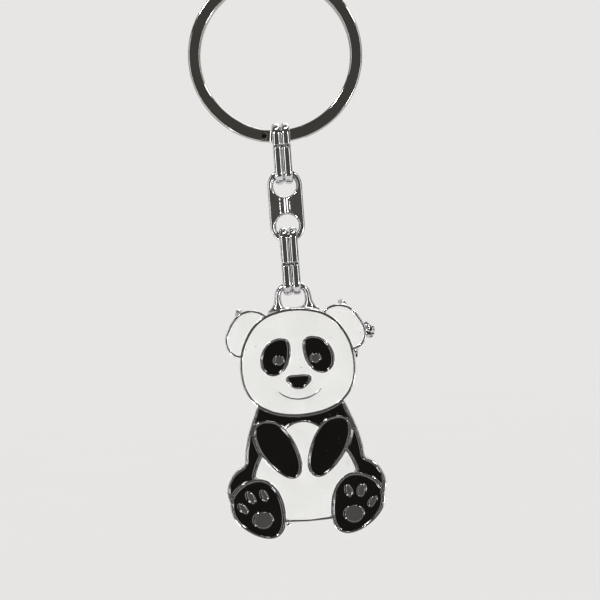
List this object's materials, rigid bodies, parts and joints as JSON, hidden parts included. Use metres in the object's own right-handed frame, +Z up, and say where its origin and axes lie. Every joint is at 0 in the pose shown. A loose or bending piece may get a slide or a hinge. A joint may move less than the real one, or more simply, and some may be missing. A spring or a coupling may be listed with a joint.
{
  "type": "panda keyring",
  "caption": "Split ring, folded strip links and a figure-eight link carrying a chrome-plated cast panda charm with black and white enamel.",
  "frame": {"origin": "inside top of the split ring, where the keyring hangs from a hook or a finger", "axes": "+Z up along the hanging chain, +X to the right of the enamelled face, +Y out of the plain back"},
  "size_m": [0.03, 0.0046, 0.0979],
  "materials": {
    "ring_chrome": "bright nickel plate, polished",
    "link_chrome": "bright nickel plate, polished",
    "casting_chrome": "bright nickel plate, polished",
    "white_enamel": "glossy white enamel",
    "black_enamel": "glossy black enamel"
  },
  "bodies": {
    "ring": {"split_ring": "ring_chrome"},
    "upper_link": {"upper_strip_link": "link_chrome"},
    "figure_eight": {"figure_eight_link": "link_chrome"},
    "lower_link": {"lower_strip_link": "link_chrome"},
    "charm": {"charm_casting": "casting_chrome", "enamel_face": "white_enamel", "enamel_nose": "black_enamel", "enamel_shoulders": "black_enamel", "enamel_belly": "white_enamel", "enamel_ear_left": "white_enamel", "enamel_ear_right": "white_enamel", "enamel_eye_left": "black_enamel", "enamel_eye_right": "black_enamel", "enamel_arm_left": "black_enamel", "enamel_arm_right": "black_enamel", "enamel_foot_left": "black_enamel", "enamel_foot_right": "black_enamel", "enamel_flank_left": "black_enamel", "enamel_flank_right": "black_enamel"}
  },
  "joints": [
    {"name": "ring_slide", "type": "hinge", "parent": "ring", "child": "upper_link", "pos_m": [0, 0, -0.0129], "axis": [0, 1, 0], "continuous": true},
    {"name": "figure_eight_swing", "type": "hinge", "parent": "upper_link", "child": "figure_eight", "pos_m": [0, 0, -0.0328], "axis": [1, 0, 0], "range_deg": [-60, 60]},
    {"name": "lower_link_swing", "type": "hinge", "parent": "figure_eight", "child": "lower_link", "pos_m": [0, 0, -0.04487], "axis": [1, 0, 0], "range_deg": [-60, 60]},
    {"name": "charm_swing", "type": "hinge", "parent": "lower_link", "child": "charm", "pos_m": [0, 0, -0.05197], "axis": [1, 0, 0], "range_deg": [-45, 45]}
  ]
}
